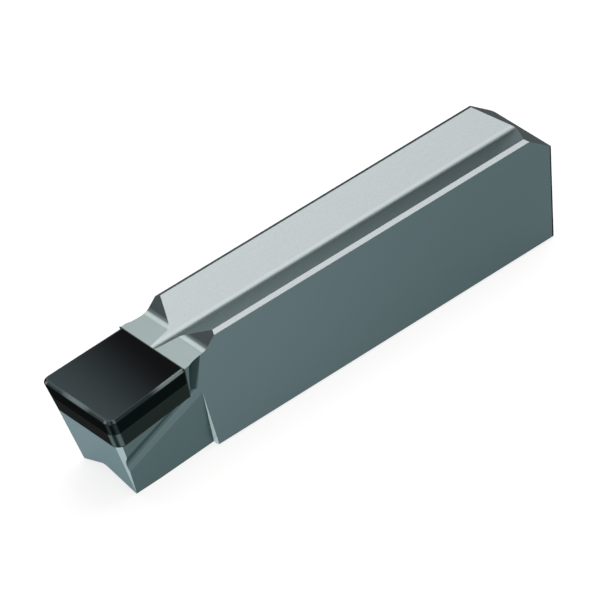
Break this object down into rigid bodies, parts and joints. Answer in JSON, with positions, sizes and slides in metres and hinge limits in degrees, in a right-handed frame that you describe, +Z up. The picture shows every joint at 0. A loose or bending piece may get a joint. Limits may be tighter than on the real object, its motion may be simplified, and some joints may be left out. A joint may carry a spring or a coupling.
{
  "type": "grooving insert",
  "caption": "Single-ended grooving insert with a prism-grooved carbide body and a brazed superhard cutting tip.",
  "frame": {"origin": "under the middle of the insert's length and width, at the height of its bottom ridges", "axes": "+X from the cutting edge towards the rear stop face, +Y across the width, +Z up from the bottom ridges to the top ridges"},
  "size_m": [0.0232, 0.004, 0.0054],
  "materials": {
    "carbide": "fine ground sintered carbide, satin",
    "superhard_layer": "fine ground black superhard layer, honed edge",
    "backing_carbide": "dark ground carbide",
    "braze": "dull braze metal"
  },
  "bodies": {
    "root": {"insert_body": "carbide", "tip_backing": "backing_carbide", "cutting_layer": "superhard_layer", "braze_layer": "braze"}
  },
  "joints": []
}
